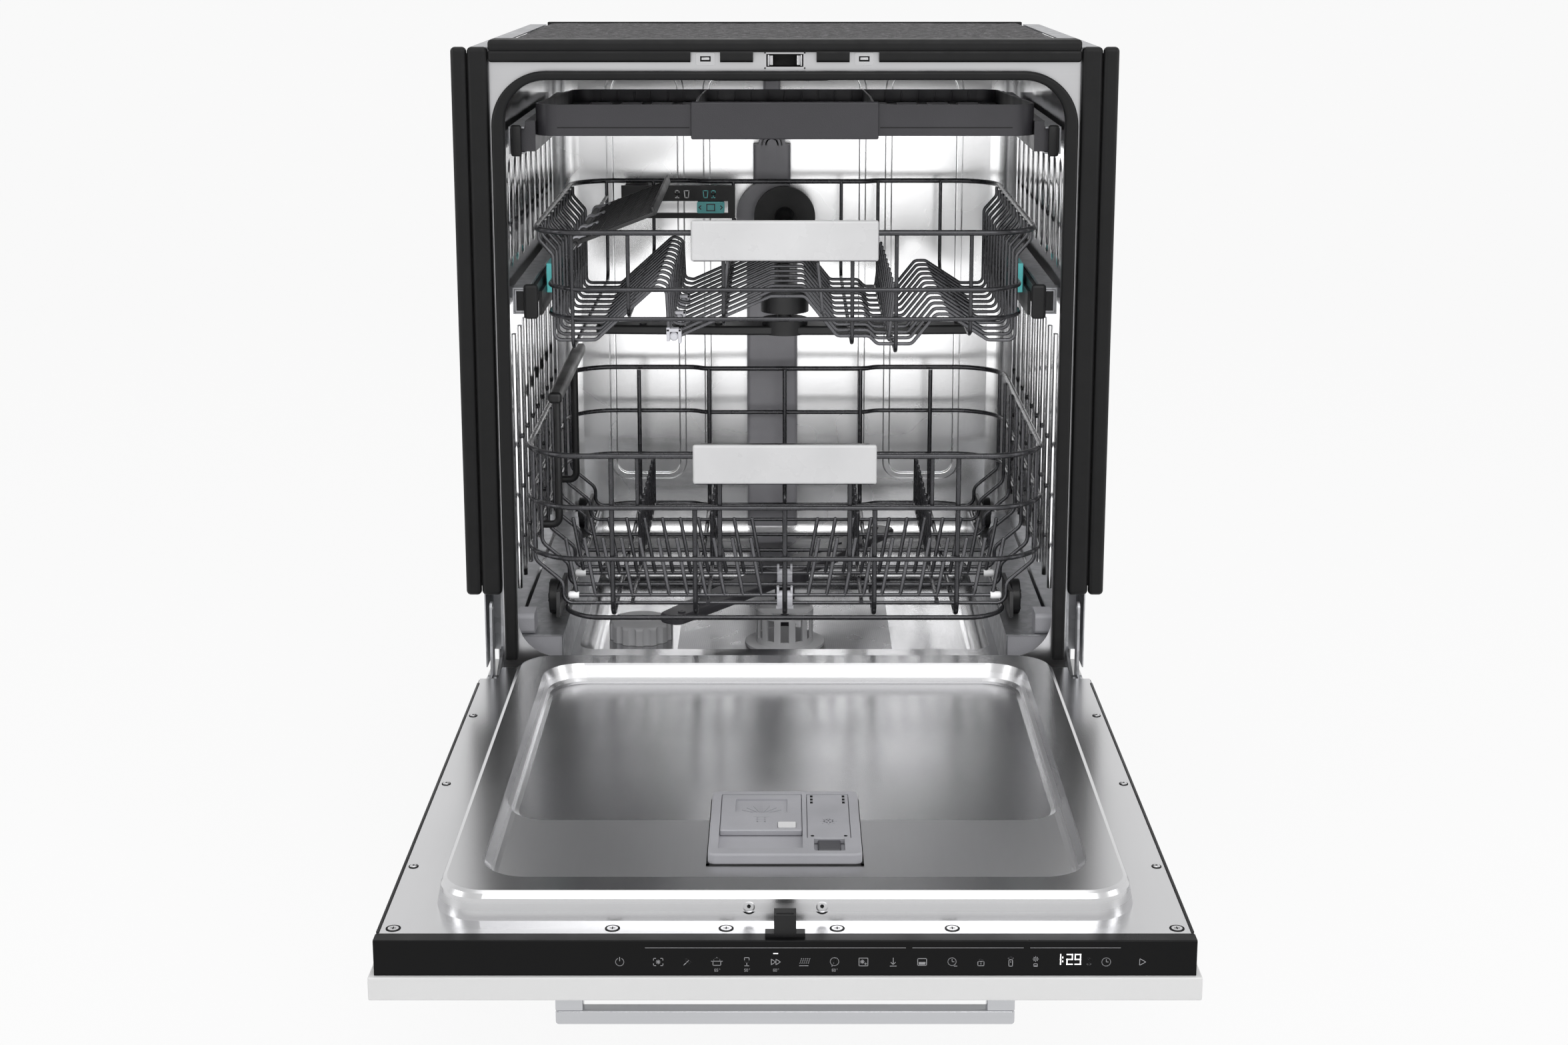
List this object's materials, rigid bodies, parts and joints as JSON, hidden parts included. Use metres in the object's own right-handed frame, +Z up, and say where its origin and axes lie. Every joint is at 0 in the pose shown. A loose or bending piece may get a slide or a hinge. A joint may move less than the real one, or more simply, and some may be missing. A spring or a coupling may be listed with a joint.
{
  "type": "dishwasher",
  "caption": "Built-in dishwasher with a drop-down door, rolling lower rack, sliding upper rack, cutlery tray, spray arms and detergent dispenser",
  "frame": {"origin": "on the floor under the middle of the bounding box, door open", "axes": "+X to the right seen from the front, +Y into the machine, +Z up"},
  "size_m": [0.6306, 1.209, 0.86],
  "materials": {
    "steel_polished": "bright stainless sheet",
    "steel_satin": "satin stainless pressing",
    "galvanised": "galvanised sheet",
    "wire": "grey coated wire",
    "black_plastic": "fine grained black",
    "grey_plastic": "fine grained dark grey",
    "light_grey_plastic": "fine grained light grey",
    "control_black": "smooth black with lit symbols",
    "teal_plastic": "smooth teal",
    "silver_plastic": "smooth silver",
    "black_rubber": "soft black",
    "felt": "grey fibre felt",
    "white_board": "white lacquered board",
    "aluminium": "satin bar",
    "circuit": "printed board",
    "motor": "motor casing"
  },
  "bodies": {
    "cabinet": {"base_pan": "black_plastic", "toe_plate": "black_plastic", "levelling_feet": "black_plastic", "side_frames": "galvanised", "tub_flange": "steel_polished", "tub_wrapper": "steel_polished", "tub_back": "steel_polished", "tub_floor": "steel_polished", "tub_felt": "felt", "rubber_trims": "black_rubber", "door_gasket": "black_rubber", "latch_body": "black_plastic", "counter_tabs": "steel_satin", "rack_rails": "galvanised", "rack_stops": "light_grey_plastic", "sump": "grey_plastic", "filter_plate": "steel_polished", "softener_tank": "grey_plastic", "pumps": "motor", "inlet_valve": "grey_plastic", "spray_duct": "grey_plastic", "hinge_brackets": "galvanised", "door_springs": "galvanised"},
    "filter": {"filter_cup": "light_grey_plastic"},
    "salt_cap": {"salt_cap": "light_grey_plastic"},
    "lower_arm": {"lower_spray_arm": "grey_plastic"},
    "top_sprayer": {"top_sprayer": "black_plastic"},
    "door": {"door_liner": "steel_satin", "door_shell": "black_plastic", "control_panel": "control_black", "control_board": "circuit", "custom_panel": "white_board", "door_handle": "aluminium", "dispenser_body": "light_grey_plastic", "door_strike": "black_plastic", "door_screws": "steel_satin", "hinge_arms": "galvanised"},
    "detergent_lid": {"detergent_lid": "light_grey_plastic"},
    "release_button": {"release_button": "light_grey_plastic"},
    "rinse_lid": {"rinse_lid": "light_grey_plastic"},
    "lower_rack": {"lower_basket": "wire", "lower_handle": "silver_plastic", "wheel_carriers": "black_plastic", "support_bar": "black_plastic"},
    "front_wheels": {"front_wheels": "black_plastic"},
    "rear_wheels": {"rear_wheels": "black_plastic"},
    "front_fold": {"front_fold_tines": "wire"},
    "rear_fold": {"rear_fold_tines": "wire"},
    "upper_slide": {"inner_rails": "black_plastic"},
    "upper_middle": {"middle_rails": "galvanised"},
    "upper_rack": {"upper_basket": "wire", "upper_handle": "silver_plastic", "feed_tube": "black_plastic", "shelf_bracket": "black_plastic", "height_levers": "teal_plastic"},
    "upper_arm": {"upper_spray_arm": "black_plastic"},
    "cup_shelf": {"cup_shelf": "black_plastic"},
    "shelf_slider": {"shelf_slider": "teal_plastic"},
    "tray": {"cutlery_tray": "grey_plastic", "tray_front": "grey_plastic"}
  },
  "joints": [
    {"name": "door_hinge", "type": "hinge", "parent": "cabinet", "child": "door", "pos_m": [0, 0.0145, 0.234], "axis": [1, 0, 0], "range_deg": [-90, 0]},
    {"name": "detergent_lid_slide", "type": "slide", "parent": "door", "child": "detergent_lid", "axis": [0, -1, 0], "range_m": [0, 0.036]},
    {"name": "release_button_press", "type": "slide", "parent": "detergent_lid", "child": "release_button", "axis": [0, 0, -1], "range_m": [0, 0.0015], "stiffness_N_per_m": 400},
    {"name": "rinse_lid_hinge", "type": "hinge", "parent": "door", "child": "rinse_lid", "pos_m": [0, -0.37, 0.2652], "axis": [-1, 0, 0], "range_deg": [0, 95]},
    {"name": "lower_rack_slide", "type": "slide", "parent": "cabinet", "child": "lower_rack", "axis": [0, -1, 0], "range_m": [0, 0.4]},
    {"name": "front_wheel_roll", "type": "hinge", "parent": "lower_rack", "child": "front_wheels", "pos_m": [0, 0.1265, 0.2873], "axis": [1, 0, 0], "continuous": true},
    {"name": "rear_wheel_roll", "type": "hinge", "parent": "lower_rack", "child": "rear_wheels", "pos_m": [0, 0.4665, 0.2873], "axis": [1, 0, 0], "continuous": true},
    {"name": "front_tine_fold", "type": "hinge", "parent": "lower_rack", "child": "front_fold", "pos_m": [0, 0.1005, 0.2961], "axis": [-1, 0, 0], "range_deg": [0, 80]},
    {"name": "rear_tine_fold", "type": "hinge", "parent": "lower_rack", "child": "rear_fold", "pos_m": [0, 0.1805, 0.2961], "axis": [-1, 0, 0], "range_deg": [0, 80]},
    {"name": "upper_rack_slide", "type": "slide", "parent": "cabinet", "child": "upper_slide", "axis": [0, -1, 0], "range_m": [0, 0.44]},
    {"name": "upper_rail_extend", "type": "slide", "parent": "cabinet", "child": "upper_middle", "axis": [0, -1, 0], "range_m": [0, 0.22]},
    {"name": "upper_rack_lift", "type": "slide", "parent": "upper_slide", "child": "upper_rack", "axis": [0, 0, 1], "range_m": [-0.05, 0]},
    {"name": "upper_arm_spin", "type": "hinge", "parent": "upper_rack", "child": "upper_arm", "pos_m": [0, 0.3055, 0.532], "axis": [0, 0, 1], "continuous": true},
    {"name": "cup_shelf_fold", "type": "hinge", "parent": "upper_rack", "child": "cup_shelf", "pos_m": [-0.208, 0, 0.656], "axis": [0, -1, 0], "range_deg": [-21, 55]},
    {"name": "shelf_slider_move", "type": "slide", "parent": "upper_rack", "child": "shelf_slider", "axis": [1, 0, 0], "range_m": [-0.047, 0]},
    {"name": "tray_slide", "type": "slide", "parent": "cabinet", "child": "tray", "axis": [0, -1, 0], "range_m": [0, 0.4]},
    {"name": "lower_arm_spin", "type": "hinge", "parent": "cabinet", "child": "lower_arm", "pos_m": [0, 0.3055, 0.2563], "axis": [0, 0, 1], "continuous": true},
    {"name": "top_sprayer_spin", "type": "hinge", "parent": "cabinet", "child": "top_sprayer", "pos_m": [-0.015, 0.3055, 0.83], "axis": [0, 0, 1], "continuous": true},
    {"name": "filter_twist", "type": "hinge", "parent": "cabinet", "child": "filter", "pos_m": [0, 0.2385, 0.198], "axis": [0, 0, 1], "range_deg": [0, 60]},
    {"name": "salt_cap_turn", "type": "hinge", "parent": "cabinet", "child": "salt_cap", "pos_m": [-0.158, 0.2655, 0.198], "axis": [0, 0, 1], "range_deg": [0, 90]}
  ],
  "couplings": [
    {"joint": "front_wheel_roll", "follows": "lower_rack_slide", "rad_per_m": 55.556},
    {"joint": "rear_wheel_roll", "follows": "lower_rack_slide", "rad_per_m": 55.556},
    {"joint": "upper_rail_extend", "follows": "upper_rack_slide", "ratio": 0.5}
  ]
}
